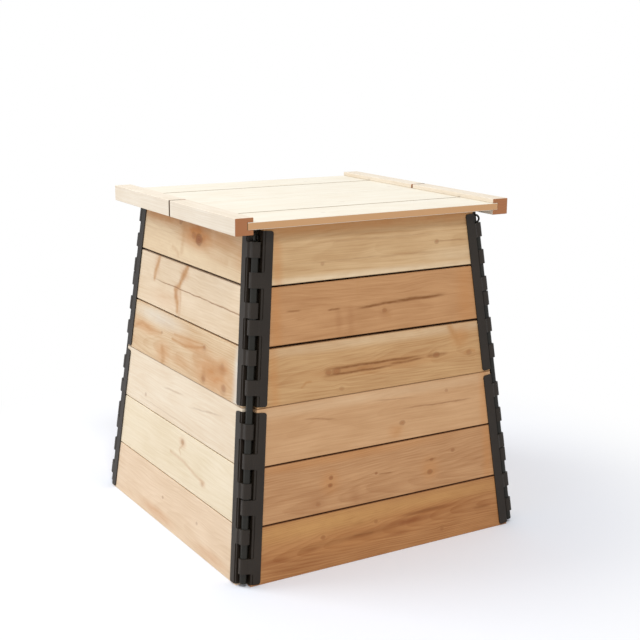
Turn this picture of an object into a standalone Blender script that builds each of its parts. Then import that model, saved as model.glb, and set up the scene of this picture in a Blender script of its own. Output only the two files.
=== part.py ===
"""Wooden compost bin with leaning board walls, interleaved corner hinges and a lift-off lid in two halves.

Metres, +Z up. The front faces -Y, and the origin is on the ground in the middle of the bin.
A panel's own frame has X along the panel, Y inward through the boards and Z up the slope.
A hinge strip's own frame has its Z axis on the corner rod, X into the panel and -Y outward.
"""

import math

import bmesh
import bpy
from mathutils import Matrix, Vector

OBJECT_NAME = "wooden_compost_bin"

# Walls
BASE_WIDTH = 0.800
FACE_LEAN = math.radians(5.83)
COURSES = 3
COURSE_PITCH = 0.136
BOARD_THICKNESS = 0.020
LOWER_BOARD_GAP = 0.0025
UPPER_BOARD_GAP = 0.0045
TIER_SEAM_GAP = 0.0003
BOARD_CHAMFER = 0.0012
END_CLEARANCE = 0.0003

# Corner rods
ROD_RADIUS = 0.0085
ROD_CLEARANCE = 0.0003
ROD_END_CHAMFER = 0.0012
ROD_FOOT = 0.009
RING_RADIUS = 0.00925
RING_WIRE = 0.005
RING_STAND = 0.010
ROUND_STEPS = 20
RING_STEPS = 16

# Hinge strips
LEG_THICKNESS = 0.0025
SKIN_THICKNESS = 0.0008
WEB_THICKNESS = 0.0015
STRIP_FIT = 0.0003
FLANGE_WIDTH = 0.0195
RECESS_WIDTH = 0.006
FLANGE_CORNER_RADIUS = 0.006
RECESS_FILLET = 0.0035
STRIP_SETBACK = 0.0065
KNUCKLE_WALL = 0.0025
KNUCKLE_CORNER_RADIUS = 0.0085
KNUCKLE_LENGTH = 0.035
KNUCKLE_RAMP = 0.005
END_KNUCKLE_SETBACK = 0.0325
MIDDLE_KNUCKLE_GAP = 0.003
HINGE_CLEARANCE = 0.0006
CORNER_STEPS = 3
JOIN_OVERLAP = 0.0005

# Lid
LID_OVERHANG = 0.028
BATTEN_RIM_CLEARANCE = 0.016
LID_BOARD_THICKNESS = 0.017
LID_OUTER_BOARD_WIDTH = 0.1345
LID_BOARD_GAP = 0.0035
LID_BOARD_CUT = 0.0012
LID_SEAT_CLEARANCE = 0.0003
BATTEN_WIDTH = 0.045
BATTEN_WEB = 0.030
BATTEN_UPPER_LIP = 0.0102
BATTEN_LOWER_LIP = 0.0112
BATTEN_CUT = 0.0048
GROOVE_CLEARANCE = 0.0003
LID_CHAMFER = 0.0010

SIDES = ("front", "right", "back", "left")
ROD_TURNS = {"front_left_rod": 37, "front_right_rod": 59, "back_right_rod": 20, "back_left_rod": 75}
TIERS = ("lower", "upper")

WALL_WOOD = {"color": (0.56, 0.34, 0.17), "roughness": 0.65, "metallic": 0.0}
LID_WOOD = {"color": (0.88, 0.76, 0.56), "roughness": 0.6, "metallic": 0.0}
BATTEN_WOOD = {"color": (0.52, 0.27, 0.12), "roughness": 0.65, "metallic": 0.0}
HINGE_PLASTIC = {"color": (0.035, 0.033, 0.031), "roughness": 0.45, "metallic": 0.0}
ROD_PLASTIC = {"color": (0.05, 0.05, 0.047), "roughness": 0.35, "metallic": 0.0}

# Sizes that follow from the ones above
BOARD_GAPS = {"lower": LOWER_BOARD_GAP, "upper": UPPER_BOARD_GAP}
TIER_SLOPE = COURSES * COURSE_PITCH
BODY_SLOPE = len(TIERS) * TIER_SLOPE
BODY_HEIGHT = BODY_SLOPE * math.cos(FACE_LEAN)
RIM_WIDTH = BASE_WIDTH - 2 * BODY_SLOPE * math.sin(FACE_LEAN)
EDGE_RAKE = math.tan(FACE_LEAN)
CORNER_SLANT = math.atan(math.sin(FACE_LEAN))
CORNER_ANGLE = math.pi - math.acos(math.sin(FACE_LEAN) ** 2)

BORE_RADIUS = ROD_RADIUS + ROD_CLEARANCE
KNUCKLE_HALF = BORE_RADIUS + KNUCKLE_WALL
PIN_DEPTH = BOARD_THICKNESS + STRIP_FIT + LEG_THICKNESS - KNUCKLE_HALF
PIN_INSET = PIN_DEPTH / math.tan(CORNER_ANGLE / 2)
WEB_FACE = KNUCKLE_HALF + HINGE_CLEARANCE
WEB_BACK = WEB_FACE + WEB_THICKNESS
FLANGE_START = WEB_FACE + RECESS_WIDTH
FLANGE_END = FLANGE_START + FLANGE_WIDTH
OUTER_SEAT = PIN_DEPTH + STRIP_FIT
OUTER_LEVEL = OUTER_SEAT + LEG_THICKNESS
INNER_SEAT = PIN_DEPTH - BOARD_THICKNESS - STRIP_FIT
INNER_LEVEL = INNER_SEAT - LEG_THICKNESS
TIER_CORNER = TIER_SLOPE / math.cos(CORNER_SLANT)
STRIP_LENGTH = TIER_CORNER - 2 * STRIP_SETBACK
END_KNUCKLE = TIER_CORNER / 2 - END_KNUCKLE_SETBACK - KNUCKLE_LENGTH / 2
MIDDLE_KNUCKLE = (MIDDLE_KNUCKLE_GAP + KNUCKLE_LENGTH) / 2
KNUCKLE_HEIGHTS = (-END_KNUCKLE, -MIDDLE_KNUCKLE, (END_KNUCKLE + MIDDLE_KNUCKLE) / 2)

LID_LENGTH = RIM_WIDTH + 2 * (BATTEN_RIM_CLEARANCE + BATTEN_WIDTH)
LID_DEPTH = RIM_WIDTH + 2 * LID_OVERHANG
BOARD_SEAT_Z = BODY_HEIGHT + LID_SEAT_CLEARANCE
GROOVE_HEIGHT = LID_BOARD_THICKNESS + 2 * GROOVE_CLEARANCE
BATTEN_BASE_Z = BOARD_SEAT_Z - GROOVE_CLEARANCE - BATTEN_LOWER_LIP
BATTEN_HEIGHT = BATTEN_LOWER_LIP + GROOVE_HEIGHT + BATTEN_UPPER_LIP
BATTEN_LENGTH = (LID_DEPTH - BATTEN_CUT) / 2
LID_BOARD_LENGTH = LID_LENGTH - 2 * (BATTEN_WEB + GROOVE_CLEARANCE)
LID_INNER_BOARD_WIDTH = LID_DEPTH / 2 - LID_BOARD_CUT / 2 - LID_OUTER_BOARD_WIDTH - LID_BOARD_GAP


def clear_scene():
    """Removes whatever the scene holds."""
    for item in list(bpy.data.objects):
        bpy.data.objects.remove(item, do_unlink=True)


def make_collection(name):
    """Adds a collection to the scene."""
    collection = bpy.data.collections.new(name)
    bpy.context.scene.collection.children.link(collection)
    return collection


def make_material(name, look):
    """Makes a Principled material from a colour, a roughness and a metallic value."""
    material = bpy.data.materials.new(name)
    material.use_nodes = True
    shader = material.node_tree.nodes["Principled BSDF"]
    shader.inputs["Base Color"].default_value = (*look["color"], 1.0)
    shader.inputs["Roughness"].default_value = look["roughness"]
    shader.inputs["Metallic"].default_value = look["metallic"]
    material.diffuse_color = (*look["color"], 1.0)
    return material


def place(name, mesh, look, collection, frame, parent=None):
    """Adds a named object with its own material, at a frame given in its parent's axes."""
    item = bpy.data.objects.new(name, mesh)
    collection.objects.link(item)
    item.parent = parent
    item.matrix_local = frame
    if not mesh.materials:
        mesh.materials.append(None)
    item.material_slots[0].link = "OBJECT"
    item.material_slots[0].material = make_material(name, look)
    return item


def add_chamfer(item, width):
    """Eases an object's sharp edges."""
    bevel = item.modifiers.new("eased_edges", "BEVEL")
    bevel.width = width
    bevel.segments = 1
    bevel.limit_method = "ANGLE"


def shade_round(mesh):
    """Shades a mesh smooth and keeps its real edges sharp."""
    mesh.shade_smooth()
    mesh.set_sharp_from_angle(angle=math.radians(35))


def arc(centre, radius, start, end, steps):
    """Points of an arc from one angle to another, in degrees, both ends included."""
    angles = [math.radians(start + (end - start) * step / steps) for step in range(steps + 1)]
    return [(centre[0] + radius * math.cos(a), centre[1] + radius * math.sin(a)) for a in angles]


def evaluated_mesh(item, name):
    """Copies an object's evaluated mesh, in the object's own axes."""
    graph = bpy.context.evaluated_depsgraph_get()
    graph.update()
    mesh = bpy.data.meshes.new_from_object(item.evaluated_get(graph))
    mesh.name = name
    return mesh


def extrude_outline(name, loops, depth):
    """Makes a closed mesh from flat loops in XY, extruded half its depth to either side."""
    curve = bpy.data.curves.new(name, "CURVE")
    curve.dimensions = "2D"
    curve.fill_mode = "BOTH"
    curve.extrude = depth / 2
    for loop in loops:
        spline = curve.splines.new("POLY")
        spline.points.add(len(loop) - 1)
        for point, (x, y) in zip(spline.points, loop):
            point.co = (x, y, 0.0, 1.0)
        spline.use_cyclic_u = True
    holder = bpy.data.objects.new(name, curve)
    bpy.context.scene.collection.objects.link(holder)
    mesh = evaluated_mesh(holder, name)
    bpy.data.objects.remove(holder, do_unlink=True)
    bpy.data.curves.remove(curve)
    solid = bmesh.new()
    solid.from_mesh(mesh)
    bmesh.ops.remove_doubles(solid, verts=solid.verts, dist=0.00001)
    bmesh.ops.recalc_face_normals(solid, faces=solid.faces)
    solid.to_mesh(mesh)
    solid.free()
    return mesh


def unite_meshes(name, pieces):
    """Unites closed meshes, each given with its frame."""
    holding = make_collection(name + "_pieces")
    items = []
    for index, (mesh, frame) in enumerate(pieces):
        mesh.transform(frame)
        item = bpy.data.objects.new(f"{name}_piece_{index}", mesh)
        item.hide_render = True
        item.display_type = "WIRE"
        holding.objects.link(item)
        items.append(item)
    for item in items[1:]:
        step = items[0].modifiers.new(item.name, "BOOLEAN")
        step.operation = "UNION"
        step.solver = "EXACT"
        step.object = item
    combined = evaluated_mesh(items[0], name)
    for item in items:
        bpy.data.objects.remove(item, do_unlink=True)
    bpy.data.collections.remove(holding)
    return combined


# Panels


def panel_frame(turn, slope):
    """Frame of a panel's outer face at the middle of its lower edge, for a side turned about Z."""
    lean = Matrix.Translation((0, -BASE_WIDTH / 2, 0)) @ Matrix.Rotation(-FACE_LEAN, 4, "X")
    return Matrix.Rotation(turn, 4, "Z") @ lean @ Matrix.Translation((0, 0, slope))


def corner_x(slope):
    """Distance of the corner line from the panel's middle, at a distance up the slope."""
    return BASE_WIDTH / 2 - slope * math.tan(CORNER_SLANT)


def board_end_x(slope):
    """Distance of a board's end from the panel's middle, just clear of the hinge strip's web."""
    inset = PIN_INSET + WEB_BACK + END_CLEARANCE
    return corner_x(slope) - inset / math.cos(CORNER_SLANT)


def board_mesh(name, tier_slope, low, high, rake_low, rake_high):
    """A board with slanting ends. Its lower and upper edges are square, or raked so that they lie level."""
    solid = bmesh.new()
    bmesh.ops.create_cube(solid, size=1.0)
    for vertex in solid.verts:
        depth = BOARD_THICKNESS if vertex.co.y > 0 else 0.0
        if vertex.co.z > 0:
            height = high + depth * rake_high
        else:
            height = low + depth * rake_low
        reach = math.copysign(board_end_x(tier_slope + height), vertex.co.x)
        vertex.co = Vector((reach, depth, height))
    mesh = bpy.data.meshes.new(name)
    solid.to_mesh(mesh)
    solid.free()
    return mesh


def tier_board_meshes(tier):
    """The meshes of one tier's boards, from the lowest course up."""
    tier_slope = TIERS.index(tier) * TIER_SLOPE
    gap = BOARD_GAPS[tier]
    width = (TIER_SLOPE - TIER_SEAM_GAP - (COURSES - 1) * gap) / COURSES
    seam_side = TIER_SEAM_GAP if tier != TIERS[0] else 0.0
    meshes = []
    for course in range(COURSES):
        low = seam_side + course * (width + gap)
        is_bottom = tier == TIERS[0] and course == 0
        is_top = tier == TIERS[-1] and course == COURSES - 1
        rake_low = EDGE_RAKE if is_bottom else 0.0
        rake_high = EDGE_RAKE if is_top else 0.0
        name = f"{tier}_board_{course + 1}"
        meshes.append(board_mesh(name, tier_slope, low, low + width, rake_low, rake_high))
    return meshes


# Hinge strips


def outward(points):
    """Turns points given as (into the panel, outward) into the strip's own X and Y."""
    return [(into, -out) for into, out in points]


def knuckle_mesh():
    """A boxy knuckle round the rod, with a ramp up to the level of the flange."""
    corner = KNUCKLE_CORNER_RADIUS
    far = -KNUCKLE_HALF + corner
    root = WEB_FACE + WEB_THICKNESS / 2
    outline = [(root, INNER_LEVEL), (root, OUTER_LEVEL), (WEB_FACE, OUTER_LEVEL)]
    outline.append((WEB_FACE - KNUCKLE_RAMP, KNUCKLE_HALF))
    outline += arc((far, KNUCKLE_HALF - corner), corner, 90, 180, CORNER_STEPS)
    outline += arc((far, INNER_LEVEL + corner), corner, 180, 270, CORNER_STEPS)
    bore = arc((0.0, 0.0), BORE_RADIUS, 0, 360, ROUND_STEPS)[:-1]
    return extrude_outline("knuckle", [outward(outline), outward(bore)], KNUCKLE_LENGTH)


def channel_mesh():
    """The web that caps the boards' ends, with the inner leg and the thin skin in the recess."""
    lap = FLANGE_START + 2 * JOIN_OVERLAP
    outline = [
        (WEB_FACE, OUTER_SEAT + SKIN_THICKNESS),
        (lap, OUTER_SEAT + SKIN_THICKNESS),
        (lap, OUTER_SEAT),
        (WEB_BACK, OUTER_SEAT),
        (WEB_BACK, INNER_SEAT),
        (FLANGE_END, INNER_SEAT),
        (FLANGE_END, INNER_LEVEL),
        (WEB_FACE, INNER_LEVEL),
    ]
    return extrude_outline("channel", [outward(outline)], STRIP_LENGTH)


def flange_mesh():
    """The outer leg, with rounded free corners and filleted tongues that run out to the knuckles."""
    end = STRIP_LENGTH / 2
    radius = FLANGE_CORNER_RADIUS
    fillet = RECESS_FILLET
    outline = [(FLANGE_START, -end)]
    outline += arc((FLANGE_END - radius, -end + radius), radius, -90, 0, CORNER_STEPS)
    outline += arc((FLANGE_END - radius, end - radius), radius, 0, 90, CORNER_STEPS)
    outline.append((FLANGE_START, end))
    for height in reversed(KNUCKLE_HEIGHTS):
        upper = height + KNUCKLE_LENGTH / 2
        lower = height - KNUCKLE_LENGTH / 2
        outline += arc((FLANGE_START - fillet, upper + fillet), fillet, 0, -90, CORNER_STEPS)
        outline.append((WEB_FACE + JOIN_OVERLAP, upper))
        outline.append((WEB_FACE + JOIN_OVERLAP, lower))
        outline += arc((FLANGE_START - fillet, lower - fillet), fillet, 90, 0, CORNER_STEPS)
    return extrude_outline("flange", [outline], LEG_THICKNESS)


def hinge_strip_mesh():
    """One hinge strip: a channel on the boards' ends, its outer flange and its three knuckles."""
    upright = Matrix.Rotation(math.pi / 2, 4, "X")
    flange_frame = Matrix.Translation((0, -(OUTER_SEAT + LEG_THICKNESS / 2), 0)) @ upright
    pieces = [(channel_mesh(), Matrix.Identity(4)), (flange_mesh(), flange_frame)]
    for height in KNUCKLE_HEIGHTS:
        pieces.append((knuckle_mesh(), Matrix.Translation((0, 0, height))))
    mesh = unite_meshes("hinge_strip", pieces)
    shade_round(mesh)
    return mesh


def rod_axis_frame(along):
    """Frame on the rod's axis at a panel's left end, seen from outside, at a distance up the axis."""
    slope = along * math.cos(CORNER_SLANT)
    x = corner_x(slope) - PIN_INSET / math.cos(CORNER_SLANT)
    return Matrix.Translation((-x, PIN_DEPTH, slope)) @ Matrix.Rotation(CORNER_SLANT, 4, "Y")


def mirrored_axis_frame(along):
    """Frame on the rod's axis at a panel's right end, for the same strip turned upside down."""
    slope = along * math.cos(CORNER_SLANT)
    x = corner_x(slope) - PIN_INSET / math.cos(CORNER_SLANT)
    return Matrix.Translation((x, PIN_DEPTH, slope)) @ Matrix.Rotation(math.pi - CORNER_SLANT, 4, "Y")


def strip_middle(tier):
    """Distance up the rod's axis to the middle of a tier's strips."""
    return (TIERS.index(tier) + 0.5) * TIER_CORNER


def build_panels(collection):
    """The walls: eight panels of three boards, each between two hinge strips."""
    strip = hinge_strip_mesh()
    for tier in TIERS:
        tier_slope = TIERS.index(tier) * TIER_SLOPE
        boards = tier_board_meshes(tier)
        to_ground = Matrix.Translation((0, 0, -tier_slope))
        left_frame = to_ground @ rod_axis_frame(strip_middle(tier))
        right_frame = to_ground @ mirrored_axis_frame(strip_middle(tier))
        for index, side in enumerate(SIDES):
            panel = bpy.data.objects.new(f"{side}_{tier}_panel", None)
            collection.objects.link(panel)
            panel.matrix_world = panel_frame(index * math.pi / 2, tier_slope)
            for course, mesh in enumerate(boards, start=1):
                name = f"{side}_{tier}_board_{course}"
                board = place(name, mesh, WALL_WOOD, collection, Matrix.Identity(4), panel)
                add_chamfer(board, BOARD_CHAMFER)
            prefix = f"{side}_{tier}_hinge_strip"
            place(prefix + "_left", strip, HINGE_PLASTIC, collection, left_frame, panel)
            place(prefix + "_right", strip, HINGE_PLASTIC, collection, right_frame, panel)


# Corner rods


def rod_shaft_length():
    """Length of a rod's shaft: from its foot, through every knuckle, to the middle of the ring's wire."""
    knuckle_top = strip_middle(TIERS[-1]) + END_KNUCKLE + KNUCKLE_LENGTH / 2
    return knuckle_top + RING_STAND - RING_RADIUS - ROD_FOOT


def rod_shaft_mesh(length):
    """A plain round shaft that stands on its origin, with eased rims."""
    solid = bmesh.new()
    bmesh.ops.create_cone(
        solid,
        cap_ends=True,
        segments=ROUND_STEPS,
        radius1=ROD_RADIUS,
        radius2=ROD_RADIUS,
        depth=length,
        matrix=Matrix.Translation((0, 0, length / 2)),
    )
    rims = [edge for edge in solid.edges if edge.calc_face_angle() > math.radians(60)]
    bmesh.ops.bevel(solid, geom=rims, offset=ROD_END_CHAMFER, segments=1, affect="EDGES")
    mesh = bpy.data.meshes.new("rod_shaft")
    solid.to_mesh(mesh)
    solid.free()
    return mesh


def pull_ring_mesh():
    """The ring that the rod is drawn out by, upright in XZ, with its lowest point's wire on the origin."""
    curve = bpy.data.curves.new("pull_ring", "CURVE")
    curve.dimensions = "3D"
    curve.bevel_depth = RING_WIRE / 2
    curve.bevel_resolution = 2
    spline = curve.splines.new("POLY")
    loop = arc((0.0, RING_RADIUS), RING_RADIUS, 0, 360, RING_STEPS)[:-1]
    spline.points.add(len(loop) - 1)
    for point, (x, z) in zip(spline.points, loop):
        point.co = (x, 0.0, z, 1.0)
    spline.use_cyclic_u = True
    holder = bpy.data.objects.new("pull_ring", curve)
    bpy.context.scene.collection.objects.link(holder)
    mesh = evaluated_mesh(holder, "pull_ring")
    bpy.data.objects.remove(holder, do_unlink=True)
    bpy.data.curves.remove(curve)
    return mesh


def build_rods(collection):
    """A round rod in each corner, through the knuckles of both tiers, turned as it happens to stand."""
    length = rod_shaft_length()
    pieces = [(rod_shaft_mesh(length), Matrix.Identity(4)), (pull_ring_mesh(), Matrix.Translation((0, 0, length)))]
    mesh = unite_meshes("rod", pieces)
    shade_round(mesh)
    for index, (name, turn) in enumerate(ROD_TURNS.items()):
        spin = Matrix.Rotation(math.radians(turn), 4, "Z")
        frame = panel_frame(index * math.pi / 2, 0.0) @ rod_axis_frame(ROD_FOOT) @ spin
        place(name, mesh, ROD_PLASTIC, collection, frame)


# Lid


def lid_board_mesh(name, width):
    """A lid board along X, with its origin in the middle of its underside."""
    solid = bmesh.new()
    bmesh.ops.create_cube(solid, size=1.0)
    size = Vector((LID_BOARD_LENGTH, width, LID_BOARD_THICKNESS))
    bmesh.ops.scale(solid, vec=size, verts=solid.verts)
    bmesh.ops.translate(solid, vec=(0, 0, LID_BOARD_THICKNESS / 2), verts=solid.verts)
    mesh = bpy.data.meshes.new(name)
    solid.to_mesh(mesh)
    solid.free()
    return mesh


def batten_mesh():
    """A grooved batten along Y. Its groove opens to +X, and its origin is at its lower outer corner."""
    groove_low = BATTEN_LOWER_LIP
    groove_high = BATTEN_LOWER_LIP + GROOVE_HEIGHT
    outline = [
        (0.0, 0.0),
        (BATTEN_WIDTH, 0.0),
        (BATTEN_WIDTH, groove_low),
        (BATTEN_WEB, groove_low),
        (BATTEN_WEB, groove_high),
        (BATTEN_WIDTH, groove_high),
        (BATTEN_WIDTH, BATTEN_HEIGHT),
        (0.0, BATTEN_HEIGHT),
    ]
    mesh = extrude_outline("batten", [outline], BATTEN_LENGTH)
    mesh.transform(Matrix.Rotation(math.pi / 2, 4, "X"))
    return mesh


def build_lid(collection):
    """The lid: a front half, and a rear half that is the same half turned about Z."""
    outer = lid_board_mesh("lid_outer_board", LID_OUTER_BOARD_WIDTH)
    inner = lid_board_mesh("lid_inner_board", LID_INNER_BOARD_WIDTH)
    batten = batten_mesh()
    outer_y = -LID_DEPTH / 2 + LID_OUTER_BOARD_WIDTH / 2
    inner_y = -LID_BOARD_CUT / 2 - LID_INNER_BOARD_WIDTH / 2
    batten_y = -(LID_DEPTH + BATTEN_CUT) / 4
    half_turn = Matrix.Rotation(math.pi, 4, "Z")
    for half, turn in (("front", Matrix.Identity(4)), ("rear", half_turn)):
        holder = bpy.data.objects.new(f"lid_{half}_half", None)
        collection.objects.link(holder)
        holder.matrix_world = turn
        for name, mesh, y in (("outer_board", outer, outer_y), ("inner_board", inner, inner_y)):
            frame = Matrix.Translation((0, y, BOARD_SEAT_Z))
            board = place(f"lid_{half}_{name}", mesh, LID_WOOD, collection, frame, holder)
            add_chamfer(board, LID_CHAMFER)
        at_left = Matrix.Translation((-LID_LENGTH / 2, batten_y, BATTEN_BASE_Z))
        at_right = Matrix.Translation((LID_LENGTH / 2, batten_y, BATTEN_BASE_Z)) @ half_turn
        left_name, right_name = ("left", "right") if half == "front" else ("right", "left")
        for name, frame in ((left_name, at_left), (right_name, at_right)):
            rail = place(f"lid_{half}_{name}_batten", batten, BATTEN_WOOD, collection, frame, holder)
            add_chamfer(rail, LID_CHAMFER)


def main():
    """Builds the whole bin."""
    clear_scene()
    collection = make_collection(OBJECT_NAME)
    build_panels(collection)
    build_rods(collection)
    build_lid(collection)


main()
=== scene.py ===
import itertools
import math
import random

import bmesh
import bpy
from mathutils import Matrix, Vector


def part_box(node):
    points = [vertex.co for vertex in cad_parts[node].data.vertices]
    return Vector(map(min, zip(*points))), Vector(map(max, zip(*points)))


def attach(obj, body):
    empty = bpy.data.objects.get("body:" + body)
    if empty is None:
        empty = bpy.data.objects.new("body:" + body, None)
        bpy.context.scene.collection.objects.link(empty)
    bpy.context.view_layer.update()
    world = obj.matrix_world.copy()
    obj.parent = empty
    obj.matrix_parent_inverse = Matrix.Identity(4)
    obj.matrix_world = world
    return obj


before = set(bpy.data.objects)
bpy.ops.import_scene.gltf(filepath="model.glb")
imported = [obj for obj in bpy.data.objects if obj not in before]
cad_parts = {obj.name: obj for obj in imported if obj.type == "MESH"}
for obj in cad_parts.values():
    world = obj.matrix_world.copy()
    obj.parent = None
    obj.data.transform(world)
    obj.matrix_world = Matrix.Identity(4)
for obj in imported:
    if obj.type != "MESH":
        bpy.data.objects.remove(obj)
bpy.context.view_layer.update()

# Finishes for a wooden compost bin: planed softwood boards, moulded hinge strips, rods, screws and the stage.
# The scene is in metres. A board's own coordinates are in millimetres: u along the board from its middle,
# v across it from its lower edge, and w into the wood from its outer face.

bl_info = {
    "name": "Wooden compost bin finishes",
    "version": (1, 0, 0),
    "blender": (4, 5, 0),
    "location": "View3D > Sidebar > Compost bin",
    "description": "Dresses the packed compost bin in wood and plastic and sets its studio stage",
    "category": "Object",
}

MM = 1000.0
SIDES = ("front", "right", "back", "left")
TIERS = ("lower", "upper")
COURSES = (1, 2, 3)
OUTWARD = {"front": (0, -1, 0), "right": (1, 0, 0), "back": (0, 1, 0), "left": (-1, 0, 0)}

# Painted shade and dust on the boards' long edges in the seams: its strength, from the ground over a wall's
# five seams to the rim
HEAVY_SHADE_AND_DUST = (0.0, 0.9, 0.9, 0.4, 0.7, 0.2, 0.0)
LIGHT_SHADE_AND_DUST = (0.0, 0.0, 0.0, 0.35, 0.0, 0.45, 0.0)
SEAM_SHADE_AND_DUST = {"front": HEAVY_SHADE_AND_DUST, "right": HEAVY_SHADE_AND_DUST, "back": LIGHT_SHADE_AND_DUST, "left": LIGHT_SHADE_AND_DUST}

# On the lid, from the middle: where the cut's zone, its end grain in painted shade and its shaded line begin
# and end to blend
CUT_ZONE = (0.030, 0.040)
CUT_SHADE = (0.006, 0.012)
CUT_LINE = (0.0033, 0.0040)

# On the lid, inside an edge: where the edge's zone, its shaded line and a batten's solid side blend
EDGE_ZONE = (0.012, 0.006)
EDGE_LINE = (0.0012, 0.0009)
SOLID_SIDE = (0.034, 0.026)

# Screws: their distances from a board's long edges and from its end, the inner flange's face past the wood,
# and the heads' size
SCREW_EDGE = 0.030
SCREW_INSET = 0.012
FLANGE_FACE = 0.0028
HEAD_RADIUS = 0.0038
HEAD_HEIGHT = 0.0019

# Distances from the middle between which the seen floor turns pure white
FLOOR_FADE = (0.65, 1.35)

AXIS_X = (1, 0, 0)
AXIS_Y = (0, 1, 0)


# Colours


def srgb(red, green, blue):
    """A colour given as screen values from 0 to 255, as the linear values that shaders take."""
    def linear(value):
        share = value / 255
        return share / 12.92 if share <= 0.04045 else ((share + 0.055) / 1.055) ** 2.4
    return (linear(red), linear(green), linear(blue), 1.0)


# Shader expressions


class Value:
    """A shader socket on which Python expressions add Math nodes."""

    def __init__(self, shader, socket):
        self.shader = shader
        self.socket = socket

    def __add__(self, other):
        return self.shader.math("ADD", self, other)

    __radd__ = __add__

    def __sub__(self, other):
        return self.shader.math("SUBTRACT", self, other)

    def __rsub__(self, other):
        return self.shader.math("SUBTRACT", other, self)

    def __mul__(self, other):
        return self.shader.math("MULTIPLY", self, other)

    __rmul__ = __mul__

    def __truediv__(self, other):
        return self.shader.math("DIVIDE", self, other)

    def __rtruediv__(self, other):
        return self.shader.math("DIVIDE", other, self)


class Shader:
    """A material's node tree, with its Principled shader."""

    def __init__(self, name):
        self.material = bpy.data.materials.new(name)
        self.material.use_nodes = True
        self.tree = self.material.node_tree
        self.surface = self.tree.nodes["Principled BSDF"]
        self.place = self.node("ShaderNodeTexCoord")

    def node(self, kind, settings=None, inputs=None):
        """Adds a node, sets its settings first and then its sockets from values or links."""
        node = self.tree.nodes.new(kind)
        for key, value in (settings or {}).items():
            setattr(node, key, value)
        for key, value in (inputs or {}).items():
            self.feed(node.inputs[key], value)
        return node

    def feed(self, socket, value):
        """Links a Value to a socket, or sets the socket's own number."""
        if isinstance(value, Value):
            self.tree.links.new(value.socket, socket)
        else:
            socket.default_value = value

    def out(self, node, name=0):
        """One output of a node as a Value."""
        return Value(self, node.outputs[name])

    def math(self, operation, *values, clamp=False):
        """The Math node of an operation on up to three values."""
        settings = {"operation": operation, "use_clamp": clamp}
        return self.out(self.node("ShaderNodeMath", settings, dict(enumerate(values))))

    def vector(self, operation, *values):
        """The Vector Math node of an operation whose result is a vector."""
        node = self.node("ShaderNodeVectorMath", {"operation": operation}, dict(enumerate(values)))
        return self.out(node, "Vector")

    def dot(self, value, axis):
        """Distance along an axis."""
        node = self.node("ShaderNodeVectorMath", {"operation": "DOT_PRODUCT"}, {0: value, 1: tuple(axis)})
        return self.out(node, "Value")

    def length(self, value):
        """Length of a vector."""
        return self.out(self.node("ShaderNodeVectorMath", {"operation": "LENGTH"}, {0: value}), "Value")

    def reach(self, plane, spot, reaches):
        """Distance of a place on a plane from a spot, as a share of its two reaches."""
        offset = self.vector("SUBTRACT", plane, (*spot, 0.0))
        return self.length(self.vector("MULTIPLY", offset, (1 / reaches[0], 1 / reaches[1], 0.0)))

    def combine(self, x, y, z):
        """A vector from three values."""
        return self.out(self.node("ShaderNodeCombineXYZ", None, {0: x, 1: y, 2: z}))

    def noise(self, vector, scale=1.0, detail=2.0, roughness=0.5):
        """Noise from 0 to 1, about 0.5 on average."""
        inputs = {"Vector": vector, "Scale": scale, "Detail": detail, "Roughness": roughness}
        return self.out(self.node("ShaderNodeTexNoise", None, inputs), 0)

    def step(self, value, low, high):
        """A smooth step from 0 at low to 1 at high."""
        inputs = {"Value": value, "From Min": low, "From Max": high}
        return self.out(self.node("ShaderNodeMapRange", {"interpolation_type": "SMOOTHSTEP"}, inputs), 0)

    def fade(self, value, start, end, peak=1.0):
        """A smooth fall from a peak at start to 0 at end."""
        inputs = {"Value": value, "From Min": start, "From Max": end, "To Min": peak, "To Max": 0.0}
        return self.out(self.node("ShaderNodeMapRange", {"interpolation_type": "SMOOTHSTEP"}, inputs), 0)

    def gap(self, plane, start, end):
        """Distance of a place on a plane from a straight line, and how far along it that is from 0 to 1."""
        span = Vector((end[0] - start[0], end[1] - start[1], 0.0))
        offset = self.vector("SUBTRACT", plane, (*start, 0.0))
        share = self.math("MULTIPLY", self.dot(offset, span / span.length_squared), 1.0, clamp=True)
        foot = self.node("ShaderNodeVectorMath", {"operation": "SCALE"}, {0: tuple(span), "Scale": share})
        return self.length(self.vector("SUBTRACT", offset, self.out(foot))), share

    def mix(self, factor, first, second, blend="MIX"):
        """Two colours mixed by a factor."""
        settings = {"data_type": "RGBA", "blend_type": blend, "clamp_factor": True}
        node = self.node("ShaderNodeMix", settings, {0: factor, 6: first, 7: second})
        return self.out(node, 2)

    def finish(self, **inputs):
        """Feeds the Principled shader's sockets, named with underscores for blanks."""
        for key, value in inputs.items():
            self.feed(self.surface.inputs[key.replace("_", " ")], value)
        return self.material


# Objects


def linked(data):
    """A new object of a mesh, a lamp or a camera, named after it, in the scene."""
    item = bpy.data.objects.new(data.name, data)
    bpy.context.scene.collection.objects.link(item)
    return item


def stored(solid, name):
    """A bmesh turned into a mesh and freed."""
    mesh = bpy.data.meshes.new(name)
    solid.to_mesh(mesh)
    solid.free()
    return mesh


# Settings


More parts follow.
